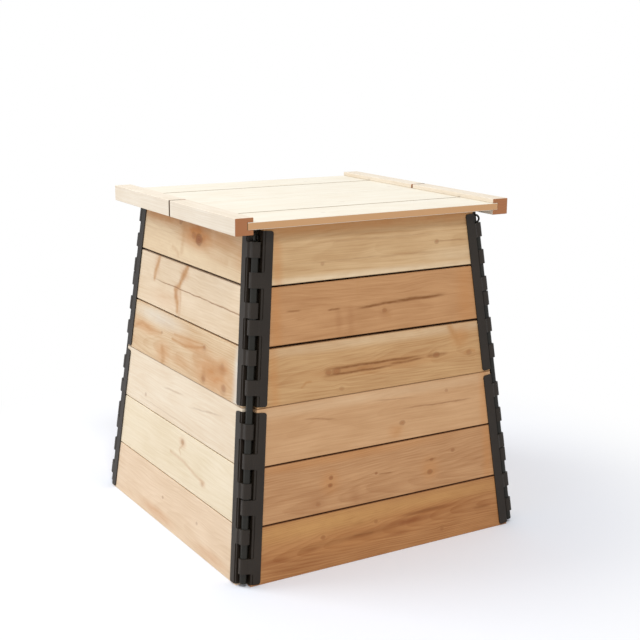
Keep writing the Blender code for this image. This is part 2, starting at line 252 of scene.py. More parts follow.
class WoodSettings(bpy.types.PropertyGroup):
    """Look of the planed softwood."""

    ring_pitch: bpy.props.FloatProperty(
        name="Ring pitch", description="Width of a growth ring in millimetres",
        default=3.4, min=1.0, max=12.0,
    )
    grain_strength: bpy.props.FloatProperty(
        name="Grain strength", description="How much darker the late wood is",
        default=0.52, subtype="FACTOR", max=1.0,
    )
    fibre_strength: bpy.props.FloatProperty(
        name="Fibre strength", description="How much the fine fibres show",
        default=0.35, subtype="FACTOR", max=1.0,
    )
    roughness: bpy.props.FloatProperty(
        name="Roughness", description="Roughness of the planed faces",
        default=0.62, subtype="FACTOR", max=1.0,
    )
    knot_color: bpy.props.FloatVectorProperty(
        name="Knot", description="Colour of the knots",
        default=srgb(142, 82, 40), size=4, subtype="COLOR",
    )
    # The stain colour also paints shade: the lid's shadow on the top boards of the front and left walls
    stain_and_shade_color: bpy.props.FloatVectorProperty(
        name="Stain", description="Resin stains round the knots",
        default=srgb(194, 132, 74), size=4, subtype="COLOR",
    )
    resin_color: bpy.props.FloatVectorProperty(
        name="Resin", description="Marks that cross the grain",
        default=srgb(184, 134, 84), size=4, subtype="COLOR",
    )
    streak_color: bpy.props.FloatVectorProperty(
        name="Streak", description="Long marks along the grain",
        default=srgb(132, 84, 42), size=4, subtype="COLOR",
    )
    batten_end_color: bpy.props.FloatVectorProperty(
        name="Batten end", description="End grain of the battens",
        default=srgb(175, 116, 76), size=4, subtype="COLOR",
    )
    joint_color: bpy.props.FloatVectorProperty(
        name="Joint", description="Shaded wood in the lid's joints",
        default=srgb(138, 114, 78), size=4, subtype="COLOR",
    )
    # Painted shade on the battens' ends in the lid's narrow cut
    cut_shade_color: bpy.props.FloatVectorProperty(
        name="Cut", description="Batten ends at the lid's cut",
        default=srgb(104, 82, 62), size=4, subtype="COLOR",
    )
    sawn_edge_color: bpy.props.FloatVectorProperty(
        name="Sawn edge", description="Edges of the lid boards",
        default=srgb(203, 157, 112), size=4, subtype="COLOR",
    )
    # Painted shade and dust on the wall boards' edges in the seams, and how far it reaches over a face
    seam_shade_and_dust_color: bpy.props.FloatVectorProperty(
        name="Seam", description="Dust on the edges of the wall boards",
        default=srgb(104, 60, 26), size=4, subtype="COLOR",
    )
    seam_shade_and_dust_reach: bpy.props.FloatProperty(
        name="Seam reach", description="How far the dust reaches over a face in millimetres",
        default=2.1, min=0.5, max=6.0,
    )


class PlasticSettings(bpy.types.PropertyGroup):
    """Look of the moulded strips and of the rods."""

    strip_color: bpy.props.FloatVectorProperty(
        name="Strips", description="Colour of the hinge strips",
        default=srgb(37, 30, 23), size=4, subtype="COLOR",
    )
    rod_color: bpy.props.FloatVectorProperty(
        name="Rods", description="Colour of the rods",
        default=srgb(28, 27, 22), size=4, subtype="COLOR",
    )
    roughness: bpy.props.FloatProperty(
        name="Roughness", description="Roughness of the moulded faces",
        default=0.42, subtype="FACTOR", max=1.0,
    )


class StageSettings(bpy.types.PropertyGroup):
    """Camera, lamps and floor."""

    lens: bpy.props.FloatProperty(
        name="Lens", description="Focal length on a 36 mm wide sensor",
        default=68.71, unit="CAMERA",
    )
    azimuth: bpy.props.FloatProperty(
        name="Azimuth", description="Camera's turn round the bin",
        default=math.radians(-31.206), subtype="ANGLE",
    )
    elevation: bpy.props.FloatProperty(
        name="Elevation", description="Camera's angle above level",
        default=math.radians(13.073), subtype="ANGLE",
    )
    roll: bpy.props.FloatProperty(
        name="Roll", description="Camera's turn about its view",
        default=math.radians(0.456), subtype="ANGLE",
    )
    position: bpy.props.FloatVectorProperty(
        name="Position", description="Camera's place",
        default=(-1.5776, -2.6823, 1.2254), subtype="TRANSLATION",
    )
    surround: bpy.props.FloatProperty(
        name="Surround", description="Brightness of the white room",
        default=0.69, min=0.0, max=2.0,
    )
    key_power: bpy.props.FloatProperty(
        name="Key lamp", description="Power of the large lamp at the rear left",
        default=76.0, unit="POWER",
    )
    fill_power: bpy.props.FloatProperty(
        name="Fill lamp", description="Power of the large lamp above the front",
        default=220.0, unit="POWER",
    )
    floor_color: bpy.props.FloatVectorProperty(
        name="Floor", description="Colour of the floor, as it lights the bin",
        default=srgb(228, 228, 230), size=4, subtype="COLOR",
    )
    seen_floor_color: bpy.props.FloatVectorProperty(
        name="Seen floor", description="Colour of the floor, as the camera sees it",
        default=srgb(242, 245, 252), size=4, subtype="COLOR",
    )


# Boards


class BoardAxes:
    """A board's own axes and its extent on them: u along, v across and w into the wood."""

    def __init__(self, node, along, across, inward):
        spots = [vertex.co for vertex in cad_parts[node].data.vertices]
        self.along = along
        self.across = across
        self.inward = inward
        self.low = min(spot.dot(across) for spot in spots)
        self.width = max(spot.dot(across) for spot in spots) - self.low
        self.face = min(spot.dot(inward) for spot in spots)
        self.depth = max(spot.dot(inward) for spot in spots) - self.face

    def values(self, shader):
        """u, v and w in millimetres as shader values."""
        spot = shader.out(shader.place, "Object")
        u = shader.dot(spot, self.along) * MM
        v = shader.dot(spot, self.across) * MM - self.low * MM
        w = shader.dot(spot, self.inward) * MM - self.face * MM
        return u, v, w


def face_axes(node, outward):
    """The axes of a board, read from its widest face on the outer side."""
    hint = Vector(outward)
    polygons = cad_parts[node].data.polygons
    normal = max(polygons, key=lambda polygon: polygon.area * (polygon.normal.dot(hint) > 0.5)).normal
    upright = abs(normal.z) < 0.7
    along = Vector((0, 0, 1)).cross(normal).normalized() if upright else Vector((1, 0, 0))
    return BoardAxes(node, along, normal.cross(along), -normal)


class Board:
    """What one board shows: its two tones, the figure and heart of its rings, and its marks.

    A knot is its u, v, radius and strength. A streak is the u and v of its start and of its end, a width
    and a strength. A curve is its points, a width and a strength. Blots, stain patches and washes are
    patches, each the u and v of its middle, its reach along and across, and a strength; some stain patches
    are painted shade.
    """

    def __init__(
        self, pale, dark, figure=0.4, heart=(40, -60), drift=0.05, seed=0.0,
        knots=(), streaks=(), curves=(), blots=(), stains_and_shade=(), washes=(), wash=srgb(232, 210, 176),
    ):
        self.pale = pale
        self.dark = dark
        self.figure = figure
        self.heart = heart
        self.drift = drift
        self.knots = knots
        self.streaks = streaks
        self.curves = curves
        self.blots = blots
        self.stains_and_shade = stains_and_shade
        self.washes = washes
        self.wash = wash
        self.seed = seed


def grain_path(shader, board, u, v, w):
    """v and w after the wood's slow waves and its flow round the knots."""
    wave = shader.noise(shader.combine(u / 260 + board.seed, v / 70, w / 70), detail=2.0)
    plane = shader.combine(u, v, 0.0)
    v = v + (wave - 0.5) * 26
    for knot_u, knot_v, radius, _ in board.knots:
        near = shader.fade(shader.reach(plane, (knot_u, knot_v), (radius * 3.2, radius * 2.4)), 0.0, 1.7, 0.7)
        v = v - (v - knot_v) * near
    return v, w + (wave - 0.5) * 9


def ring_share(shader, board, settings, u, v, w):
    """0 in the early wood and 1 in the late wood of each growth ring."""
    heart_v, heart_w = board.heart
    across = v - (heart_v + board.drift * 0.6 * u)
    into = w - (heart_w + board.drift * u)
    distance = shader.math("SQRT", across * across + into * into)
    widths = shader.noise(shader.combine(distance / 34, board.seed, 0.0), detail=1.0)
    phase = shader.math("FRACT", distance / settings.ring_pitch + widths * 2.4)
    return shader.step(phase, 0.25, 0.92) * (1 - shader.step(phase, 0.92, 1.0))


def knot_masks(shader, board, u, v):
    """The knots' cores with their rings, and the darker rims round them, each as one mask."""
    core = 0.0
    rim = 0.0
    plane = shader.combine(u, v, 0.0)
    ragged = (shader.noise(shader.combine(u / 8 + board.seed, v / 8, 0.0), detail=3.0) - 0.5) * 0.7
    for knot_u, knot_v, radius, strength in board.knots:
        reach = shader.reach(plane, (knot_u, knot_v), (radius * 1.3, radius)) + ragged
        rings = shader.math("SINE", reach * 13) * 0.18 + 0.82
        core = shader.math("MAXIMUM", core, shader.fade(reach, 0.4, 1.15, strength) * rings)
        edge = shader.math("ABSOLUTE", reach - 0.95)
        rim = shader.math("MAXIMUM", rim, shader.fade(edge, 0.0, 0.4, strength))
    return core, rim


def streak_mask(shader, board, u, v):
    """Darker lines that run with the grain and fade at their ends."""
    mask = 0.0
    wander = (shader.noise(shader.combine(u / 45 + board.seed, v / 30, 3.0), detail=3.0) - 0.5) * 7
    broken = shader.noise(shader.combine(u / 22, v / 5 + board.seed, 7.0), detail=3.0) * 1.3 + 0.35
    plane = shader.combine(u, v + wander, 0.0)
    for start_u, start_v, end_u, end_v, width, strength in board.streaks:
        gap, share = shader.gap(plane, (start_u, start_v), (end_u, end_v))
        mark = shader.fade(gap, 0.0, width * 1.9, strength)
        ends = shader.fade(shader.math("ABSOLUTE", share - 0.5), 0.22, 0.52)
        mask = shader.math("MAXIMUM", mask, mark * ends)
    return mask * broken


def curve_mask(shader, board, u, v):
    """Darker lines that cross the grain."""
    mask = 0.0
    wander = (shader.noise(shader.combine(u / 18, v / 18, board.seed), detail=2.0) - 0.5) * 9
    broken = shader.noise(shader.combine(u / 10 + board.seed, v / 10, 9.0), detail=3.0) + 0.45
    plane = shader.combine(u + wander, v, 0.0)
    for points, width, strength in board.curves:
        for start, end in zip(points, points[1:]):
            gap, _ = shader.gap(plane, start, end)
            mask = shader.math("MAXIMUM", mask, shader.fade(gap, 0.0, width * 1.8, strength))
    return mask * broken


def patch_mask(shader, board, u, v, patches):
    """Soft patches with ragged edges."""
    mask = 0.0
    plane = shader.combine(u, v, 0.0)
    ragged = shader.noise(shader.combine(u / 30 + board.seed, v / 14, 5.0), detail=3.0) * 0.9 + 0.55
    for spot_u, spot_v, reach_u, reach_v, strength in patches:
        patch = shader.fade(shader.reach(plane, (spot_u, spot_v), (reach_u, reach_v)), 0.0, 1.9, strength)
        mask = shader.math("MAXIMUM", mask, patch)
    return mask * ragged


def deepened(color, share):
    """A colour darkened to a share of itself."""
    return tuple(channel * share for channel in color[:3]) + (1.0,)


def wood_material(name, board, axes, settings, finish_edges=None):
    """Planed softwood with growth rings, fibres, knots and streaks at a board's own places.

    The noises take u, v and w divided by lengths in millimetres, long along the grain and short across it.
    """
    shader = Shader(name)
    u, v, w = axes.values(shader)
    grain_v, grain_w = grain_path(shader, board, u, v, w)
    late = ring_share(shader, board, settings, u, grain_v, grain_w)
    fibre = shader.noise(shader.combine(u / 60, grain_v / 0.8, grain_w / 0.8), detail=3.0, roughness=0.6)
    lines = shader.noise(shader.combine(u / 240 + board.seed, grain_v / 3.4, grain_w / 3.4), detail=4.0)
    cloud = shader.noise(shader.combine(u / 130, v / 45, board.seed), detail=3.0)
    tone = late * (settings.grain_strength * board.figure) + (lines - 0.5) * 1.2 + (cloud - 0.5) * 1.0 + 0.3
    tone = tone + (fibre - 0.5) * settings.fibre_strength
    color = shader.mix(shader.math("MULTIPLY", tone, 1.0, clamp=True), board.pale, board.dark)
    knot_color = tuple(settings.knot_color)
    roughness = settings.roughness + (fibre - 0.5) * 0.12
    if board.washes:
        color = shader.mix(patch_mask(shader, board, u, v, board.washes), color, board.wash)
    # Stain patches in the stain colour, some of them painted shade under the lid's edges
    if board.stains_and_shade:
        color = shader.mix(patch_mask(shader, board, u, v, board.stains_and_shade), color, tuple(settings.stain_and_shade_color))
    if board.blots:
        color = shader.mix(patch_mask(shader, board, u, v, board.blots), color, knot_color)
    if board.curves:
        color = shader.mix(curve_mask(shader, board, u, v), color, tuple(settings.resin_color))
    if board.streaks:
        color = shader.mix(streak_mask(shader, board, u, v), color, tuple(settings.streak_color))
    if board.knots:
        core, rim = knot_masks(shader, board, u, v)
        color = shader.mix(core, color, knot_color)
        color = shader.mix(rim * 0.35, color, deepened(knot_color, 0.45))
        roughness = roughness - core * 0.1
    if finish_edges:
        color = finish_edges(shader, axes, settings, color, late)
    height = fibre * 0.4 - late * (0.5 * board.figure)
    bump = shader.node("ShaderNodeBump", None, {"Height": height, "Strength": 0.25, "Distance": 0.0004})
    return shader.finish(
        Base_Color=color, Roughness=roughness, Normal=shader.out(bump, "Normal"), Specular_IOR_Level=0.3
    )


def dress(node, material):
    """Gives a CAD node a material on its own slot."""
    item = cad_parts[node]
    if not item.material_slots:
        item.data.materials.append(None)
    for slot in item.material_slots:
        slot.link = "OBJECT"
        slot.material = material


# Tones of the boards, each a pale and a dark one. The wood is the same throughout: the deeper tones of the
# front are partly painted shade and the paler tones of the left wall partly painted light, besides real
# differences between the boards

GOLDEN = (srgb(212, 178, 134), srgb(178, 136, 90))
RUSSET = (srgb(198, 150, 104), srgb(168, 118, 74))
HONEY = (srgb(204, 164, 116), srgb(170, 122, 76))
ROSE = (srgb(208, 165, 122), srgb(184, 138, 94))
FAWN = (srgb(198, 152, 108), srgb(164, 114, 72))
AMBER = (srgb(188, 136, 86), srgb(150, 94, 50))
CREAM = (srgb(231, 211, 184), srgb(210, 184, 150))
OLD_CREAM = (srgb(224, 200, 166), srgb(192, 154, 112))
PALE_ROSE = (srgb(235, 221, 199), srgb(218, 195, 166))
PALE_STRAW = (srgb(237, 223, 198), srgb(219, 201, 168))
BLUSH = (srgb(233, 210, 183), srgb(211, 182, 149))
# The lid's and the battens' pale tones are painted light, paler than the walls' same wood where light falls
# on the lid's top; the lid's sawn edges keep the wood's own tone
LID_CREAM_LIT = (srgb(240, 235, 221), srgb(229, 217, 196))
BATTEN_CREAM_LIT = (srgb(236, 226, 210), srgb(220, 204, 182))

# The narrow tall patches at the front boards' ends make darker bands beside the hinge strips
FRONT_BOARDS = {
    "upper_board_3": Board(
        *GOLDEN, figure=0.3, heart=(60, -150), drift=0.02, seed=1.3,
        knots=((180, 64, 5, 0.55), (-145, 38, 4, 0.4)),
        streaks=(
            (-250, 44, 270, 40, 2.0, 0.2), (-200, 88, 240, 84, 2.4, 0.22), (160, 66, 290, 62, 1.8, 0.35),
        ),
        # Along its top, a wide patch of painted shadow under the lid's edge; at its left end, a darker band
        # beside the strip
        stains_and_shade=((-264, 70, 12, 120, 0.45), (0, 124, 900, 18, 0.6)),
        washes=((-60, 4, 500, 9, 0.7), (240, 30, 90, 16, 0.3)),
    ),
    "upper_board_2": Board(
        *RUSSET, figure=0.3, heart=(50, -150), drift=-0.02, seed=2.1,
        knots=((21, 50, 5, 0.55),),
        streaks=(
            (-66, 63, 90, 70, 3.0, 0.9), (30, 69, 212, 71, 3.8, 1.0),
            (-250, 75, -205, 74, 2.0, 0.5), (-140, 67, -100, 67, 2.0, 0.8),
        ),
        curves=((((21, 58), (24, 46), (34, 34)), 5, 0.4), (((-50, 128), (-54, 108), (-52, 88)), 3, 0.25)),
        blots=((-108, 40, 8, 26, 0.22), (-75, 40, 8, 26, 0.2), (24, 42, 14, 12, 0.25)),
        stains_and_shade=((-274, 66, 12, 120, 0.4), (264, 66, 24, 120, 0.35)),
    ),
    "upper_board_1": Board(
        *HONEY, figure=0.4, heart=(55, -90), drift=0.03, seed=3.7,
        knots=(
            (-120, 59, 8, 0.6), (-142, 59, 6, 0.55), (168, 62, 7, 0.65), (268, 56, 6, 0.5),
            (-108, 16, 5, 0.35),
        ),
        streaks=(
            (-170, 67, 150, 65, 3.0, 0.9),
            (-170, 51, 60, 52, 2.8, 0.85),
            (20, 55, 140, 60, 3.0, 0.7),
            (130, 62, 210, 62, 4.0, 0.5),
        ),
        curves=(
            (((212, 124), (222, 108), (238, 84)), 8, 0.75), (((238, 84), (258, 96)), 9, 0.6),
            (((-216, 34), (-204, 44), (-190, 44)), 2.6, 0.8), (((256, 56), (272, 62), (284, 58)), 4, 0.7),
        ),
        blots=((-30, 59, 110, 7, 0.25),),
        stains_and_shade=((-287, 66, 12, 120, 0.4), (10, 58, 170, 14, 0.35), (240, 100, 24, 24, 0.4)),
        washes=((60, 122, 400, 12, 0.35),),
    ),
    "lower_board_3": Board(
        *ROSE, figure=0.25, heart=(70, -190), drift=0.02, seed=4.4,
        knots=((60, 43, 6, 0.55), (195, 104, 4, 0.45)),
        streaks=((48, 78, 290, 72, 2.0, 0.5), (-220, 96, -120, 80, 2.0, 0.4), (-30, 108, 110, 100, 1.6, 0.3)),
        curves=((((60, 40), (48, 26), (36, 16)), 7, 0.25),),
        stains_and_shade=((40, 26, 18, 14, 0.4), (311, 66, 12, 120, 0.4)),
        washes=((-40, 120, 400, 12, 0.2),),
    ),
    "lower_board_2": Board(
        *FAWN, figure=0.4, heart=(30, -110), drift=0.03, seed=5.9,
        knots=(
            (-148, 80, 4.5, 0.8), (-151, 62, 4.5, 0.85), (-21, 68, 3, 0.8), (-186, 22, 5, 0.4),
            (143, 74, 4, 0.6), (137, 44, 6, 0.7), (209, 87, 4.5, 0.6),
        ),
        streaks=((-20, 66, 30, 62, 1.6, 0.5), (120, 74, 160, 76, 2.0, 0.4)),
        blots=((-84, 27, 14, 18, 0.22), (-190, 24, 18, 16, 0.2)),
        stains_and_shade=(
            (-150, 70, 22, 24, 0.4), (138, 52, 22, 26, 0.4), (-120, 128, 260, 12, 0.4),
            (317, 66, 13, 120, 0.4),
        ),
    ),
    "lower_board_1": Board(
        *AMBER, figure=0.6, heart=(60, -50), drift=0.04, seed=6.6,
        knots=((-177, 77, 5, 0.65), (-27, 86, 4, 0.55), (168, 29, 4, 0.45)),
        streaks=(
            (-290, 58, 70, 66, 7.0, 0.3),
            (-112, 63, -18, 62, 2.6, 0.6),
            (40, 84, 200, 86, 3.0, 0.5),
            (262, 62, 325, 59, 2.6, 0.5),
        ),
        blots=(
            (66, 68, 62, 8, 0.85), (130, 85, 72, 5, 0.75), (-70, 60, 50, 5, 0.6), (36, 44, 30, 5, 0.5),
            (-20, 62, 90, 10, 0.3), (-209, 54, 22, 4, 0.6), (-315, 46, 36, 6, 0.5), (300, 61, 34, 4, 0.4),
        ),
        stains_and_shade=((-60, 60, 200, 22, 0.3), (110, 84, 110, 16, 0.3)),
        washes=((-150, 110, 260, 22, 0.6), (120, 112, 220, 16, 0.5)), wash=srgb(206, 158, 96),
    ),
}

LEFT_BOARDS = {
    "upper_board_3": Board(
        *OLD_CREAM, figure=0.35, heart=(90, -110), drift=0.03, seed=7.2,
        knots=((48, 68, 13, 0.95), (18, 74, 8, 0.45), (-60, 100, 8, 0.5)),
        curves=(
            (((-40, 96), (-38, 60), (-44, 24)), 9, 0.28), (((-96, 30), (-80, 26), (-60, 16)), 6, 0.3),
            (((60, 60), (110, 40), (200, 34)), 9, 0.25),
        ),
        # The patches along its upper half are painted shadow of the lid's left batten, over a resin stain
        # round the big knot
        stains_and_shade=(
            (40, 82, 80, 30, 1.0), (-170, 104, 120, 20, 0.8), (160, 88, 110, 22, 0.5), (0, 122, 500, 18, 0.8),
            (280, 70, 40, 40, 0.4),
        ),
        blots=((48, 68, 26, 12, 0.3), (60, 100, 50, 12, 0.2)),
        washes=((-60, 24, 260, 30, 0.8), (0, 4, 400, 14, 0.7)),
    ),
    "upper_board_2": Board(
        *CREAM, figure=0.25, heart=(60, -140), drift=-0.03, seed=8.5,
        streaks=((-220, 70, 180, 69, 1.5, 0.75), (60, 69, 360, 67, 1.5, 0.75)),
        curves=(
            (((-168, 130), (-176, 112), (-186, 96), (-193, 72)), 7, 0.75),
            (((-4, 130), (-16, 112), (-32, 94), (-40, 78)), 9, 0.85),
            (((-40, 78), (-62, 64), (-58, 48), (-46, 34), (-42, 14)), 8, 0.75),
            (((-32, 66), (-28, 30), (-32, 2)), 6, 0.35),
        ),
        blots=((-56, 54, 6, 14, 0.3), (-22, 106, 8, 14, 0.25)),
        stains_and_shade=(
            (-52, 48, 18, 26, 0.4), (-16, 112, 20, 14, 0.4), (-120, 30, 70, 20, 0.2),
            (-182, 104, 14, 22, 0.3),
        ),
    ),
    "upper_board_1": Board(
        *OLD_CREAM, figure=0.35, heart=(40, -60), drift=0.04, seed=9.1,
        knots=(
            (-123, 79, 4, 0.5), (122, 94, 5, 0.35), (222, 70, 7, 0.25), (129, 18, 7, 0.35), (237, 22, 8, 0.4),
        ),
        curves=(
            (((-300, 60), (-250, 80), (-200, 72), (-130, 76)), 5, 0.45),
            (((-60, 76), (20, 74), (80, 84), (124, 96)), 3.5, 0.7),
            (((-50, 90), (30, 94), (110, 100)), 2.5, 0.5),
            (((70, 62), (130, 76), (180, 66), (220, 70)), 9, 0.4),
            (((124, 16), (136, 40), (180, 52), (226, 60)), 12, 0.4),
            (((-116, 40), (-104, 20), (-108, 2)), 10, 0.5),
        ),
        blots=((222, 62, 18, 9, 0.3), (130, 22, 9, 14, 0.3), (236, 16, 12, 12, 0.3), (120, 92, 12, 7, 0.3)),
        stains_and_shade=(
            (180, 40, 90, 36, 0.75), (225, 66, 36, 20, 0.7), (-110, 30, 40, 24, 0.5), (-230, 72, 70, 14, 0.5),
            (60, 84, 90, 14, 0.5), (0, 30, 60, 16, 0.3),
        ),
        washes=((300, 60, 16, 90, 1.0), (-150, 112, 120, 18, 0.6)), wash=srgb(222, 216, 204),
    ),
    "lower_board_3": Board(
        *PALE_ROSE, figure=0.25, heart=(70, -170), drift=0.02, seed=10.8,
        knots=((-195, 32, 5, 0.4),),
        streaks=((-100, 78, 40, 88, 2.0, 0.25), (60, 66, 250, 92, 2.0, 0.25), (-250, 20, 60, 16, 1.4, 0.2)),
    ),
    "lower_board_2": Board(
        *PALE_STRAW, figure=0.25, heart=(60, -120), drift=-0.03, seed=11.5,
        knots=((45, 108, 7, 0.5), (168, 38, 5, 0.3)),
        curves=(
            (((46, 100), (30, 86), (40, 74)), 3, 0.3), (((-20, 66), (60, 62), (120, 50), (176, 44)), 4, 0.35),
        ),
        stains_and_shade=((45, 106, 16, 12, 0.4), (170, 40, 14, 8, 0.3)),
    ),
    "lower_board_1": Board(
        *BLUSH, figure=0.3, heart=(40, -150), drift=0.03, seed=12.9,
        knots=((-45, 72, 4, 0.45), (156, 72, 4, 0.45)),
        stains_and_shade=((-75, 22, 80, 12, 0.4), (240, 20, 70, 12, 0.3)),
    ),
}


def chosen_board(seed):
    """A board for the sides that the photograph hides, with a few knots at seeded places."""
    chance = random.Random(seed)
    # A random pick among the front's tones with painted shade and the left wall's tones with painted light
    tones = chance.choice((GOLDEN, ROSE, HONEY, CREAM, OLD_CREAM, BLUSH))
    knots = []
    for _ in range(chance.randint(1, 4)):
        spot = (chance.uniform(-270, 270), chance.uniform(20, 112))
        knots.append((*spot, chance.uniform(3, 7), chance.uniform(0.4, 0.75)))
    start = chance.uniform(-250, 0)
    level = chance.uniform(30, 100)
    streaks = ((start, level, start + chance.uniform(120, 260), level + chance.uniform(-8, 8), 2.5, 0.4),)
    heart = (chance.uniform(20, 110), chance.uniform(-150, -60))
    figure = chance.uniform(0.25, 0.6)
    drift = chance.uniform(-0.04, 0.04)
    return Board(
        *tones, figure=figure, heart=heart, drift=drift, seed=20.0 + seed, knots=knots, streaks=streaks
    )


def wall_board(side, tier, course):
    """The Board of one wall board."""
    key = f"{tier}_board_{course}"
    if side == "front":
        return FRONT_BOARDS[key]
    if side == "left":
        return LEFT_BOARDS[key]
    return chosen_board(SIDES.index(side) * 10 + TIERS.index(tier) * 3 + course)


def shaded_dusty_edges(low, high):
    """A finish for a wall board's two long edges, with painted shade and dust in the seams, its strength in
    the seam below and above it.
    """
    def finish_edges(shader, axes, settings, color, late):
        level = axes.values(shader)[1]
        reach = settings.seam_shade_and_dust_reach
        below = shader.fade(level, reach * 0.3, reach, low)
        above = shader.fade(axes.width * MM - level, reach * 0.3, reach, high)
        return shader.mix(shader.math("MAXIMUM", below, above), color, tuple(settings.seam_shade_and_dust_color))
    return finish_edges


def dress_wall(context, side):
    """Wood on the six boards of one side."""
    for row, (tier, course) in enumerate(itertools.product(TIERS, COURSES)):
        node = f"{side}_{tier}_board_{course}"
        axes = face_axes(node, OUTWARD[side])
        edges = shaded_dusty_edges(*SEAM_SHADE_AND_DUST[side][row:row + 2])
        dress(node, wood_material(node, wall_board(side, tier, course), axes, context.scene.bin_wood, edges))


class BIN_OT_front_wall(bpy.types.Operator):
    """Dress the boards of the front wall"""

    bl_idname = "bin.front_wall"
    bl_label = "Front wall"

    def execute(self, context):
        dress_wall(context, "front")
        return {"FINISHED"}


class BIN_OT_left_wall(bpy.types.Operator):
    """Dress the boards of the left wall"""

    bl_idname = "bin.left_wall"
    bl_label = "Left wall"

    def execute(self, context):
        dress_wall(context, "left")
        return {"FINISHED"}


class BIN_OT_hidden_walls(bpy.types.Operator):
    """Dress the boards of the right and back walls"""

    bl_idname = "bin.hidden_walls"
    bl_label = "Right and back walls"

    def execute(self, context):
        dress_wall(context, "right")
        dress_wall(context, "back")
        return {"FINISHED"}


# Lid


def turned_to(shader, axis, slant=0.6):
    """1 on faces that look along an axis, either way, and from a given slant on."""
    normal = shader.out(shader.place, "Normal")
    return shader.step(shader.math("ABSOLUTE", shader.dot(normal, axis)), slant, slant + 0.2)


def from_middle(shader, axis):
    """Distance from the lid's middle along an axis, either way."""
    return shader.math("ABSOLUTE", shader.dot(shader.out(shader.place, "Object"), axis))


def near_edge(shader, axis, edge, zone):
    """1 near an edge, whose place is its distance from the lid's middle along an axis, either way."""
    return shader.step(from_middle(shader, axis), edge - zone[0], edge - zone[1])


def sawn_sides(shader, axes, settings, color, late):
    """Sawn long sides of a lid board, shaded where they face another board."""
    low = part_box("lid_front_outer_board")[0]
    middle = shader.step(from_middle(shader, AXIS_Y), *CUT_ZONE)
    between = middle * (1 - near_edge(shader, AXIS_Y, -low[1], EDGE_ZONE))
    joint_color = tuple(settings.joint_color)
    color = shader.mix(near_edge(shader, AXIS_X, -low[0], EDGE_LINE), color, joint_color)
    color = shader.mix(turned_to(shader, axes.across, 0.45) * between, color, joint_color)
    sawn = turned_to(shader, axes.across, 0.75) * (1 - between)
    return shader.mix(sawn, color, tuple(settings.sawn_edge_color))


def batten_ends(shader, axes, settings, color, late):
    """End grain of a batten, with painted shade in dark brown where its solid side meets the other half's
    batten.
    """
    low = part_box("lid_front_left_batten")[0]
    end_color = tuple(settings.batten_end_color)
    end = shader.mix(late * 0.5, end_color, deepened(end_color, 0.6))
    lengthwise = from_middle(shader, AXIS_Y)
    cut = near_edge(shader, AXIS_X, -low[0], SOLID_SIDE) * (1 - shader.step(lengthwise, *CUT_SHADE))
    end = shader.mix(cut, end, tuple(settings.cut_shade_color))
    line = near_edge(shader, AXIS_Y, -low[1], EDGE_LINE)
    line = shader.math("MAXIMUM", line, 1 - shader.step(lengthwise, *CUT_LINE))
    return shader.mix(shader.math("MAXIMUM", turned_to(shader, axes.along), line), color, end)


class BIN_OT_lid_boards(bpy.types.Operator):
    """Dress the four boards of the lid"""

    bl_idname = "bin.lid_boards"
    bl_label = "Lid boards"

    def execute(self, context):
        for index, name in enumerate(("front_outer", "front_inner", "rear_outer", "rear_inner")):
            node = f"lid_{name}_board"
            board = Board(
                *LID_CREAM_LIT, figure=0.3, heart=(60, -120 - 15 * index), drift=0.03 - 0.02 * index,
                seed=31.0 + index, knots=((-120 + 140 * index, 60, 5, 0.2),),
            )
            axes = face_axes(node, (0, 0, 1))
            dress(node, wood_material(node, board, axes, context.scene.bin_wood, sawn_sides))
        return {"FINISHED"}


class BIN_OT_battens(bpy.types.Operator):
    """Dress the four grooved battens of the lid"""

    bl_idname = "bin.battens"
    bl_label = "Battens"

    def execute(self, context):
        for index, name in enumerate(("front_left", "front_right", "rear_left", "rear_right")):
            node = f"lid_{name}_batten"
            heart = (15 + 8 * index, 60)
            board = Board(*BATTEN_CREAM_LIT, figure=0.4, heart=heart, drift=0.02, seed=41.0 + index)
            axes = BoardAxes(node, Vector(AXIS_Y), Vector((-1, 0, 0)), Vector((0, 0, -1)))
            dress(node, wood_material(node, board, axes, context.scene.bin_wood, batten_ends))
        return {"FINISHED"}


# Plastic


def plastic_material(name, color, roughness):
    """Moulded plastic with a faint orange-peel grain and uneven sheen."""
    shader = Shader(name)
    spot = shader.out(shader.place, "Object")
    grain = shader.noise(spot, scale=900.0, detail=2.0)
    cloud = shader.noise(spot, scale=14.0, detail=3.0)
    tint = tuple(min(1.0, channel * 1.7 + 0.004) for channel in color[:3]) + (1.0,)
    base = shader.mix((cloud - 0.35) * 0.8, tuple(color), tint)
    bump = shader.node("ShaderNodeBump", None, {"Height": grain, "Strength": 0.12, "Distance": 0.0002})
    gloss = roughness + (cloud - 0.5) * 0.16
    return shader.finish(
        Base_Color=base, Roughness=gloss, Normal=shader.out(bump, "Normal"), Specular_IOR_Level=0.3
    )


class BIN_OT_strips(bpy.types.Operator):
    """Dress the sixteen hinge strips"""

    bl_idname = "bin.strips"
    bl_label = "Hinge strips"

    def execute(self, context):
        settings = context.scene.bin_plastic
        material = plastic_material("strip_plastic", settings.strip_color, settings.roughness)
        for side, tier, end in itertools.product(SIDES, TIERS, ("left", "right")):
            dress(f"{side}_{tier}_hinge_strip_{end}", material)
        return {"FINISHED"}


class BIN_OT_rods(bpy.types.Operator):
    """Dress the four corner rods"""

    bl_idname = "bin.rods"
    bl_label = "Rods"

    def execute(self, context):
        settings = context.scene.bin_plastic
        material = plastic_material("rod_plastic", settings.rod_color, settings.roughness * 0.8)
        for corner in ("front_left", "front_right", "back_right", "back_left"):
            dress(f"{corner}_rod", material)
        return {"FINISHED"}


# Screws


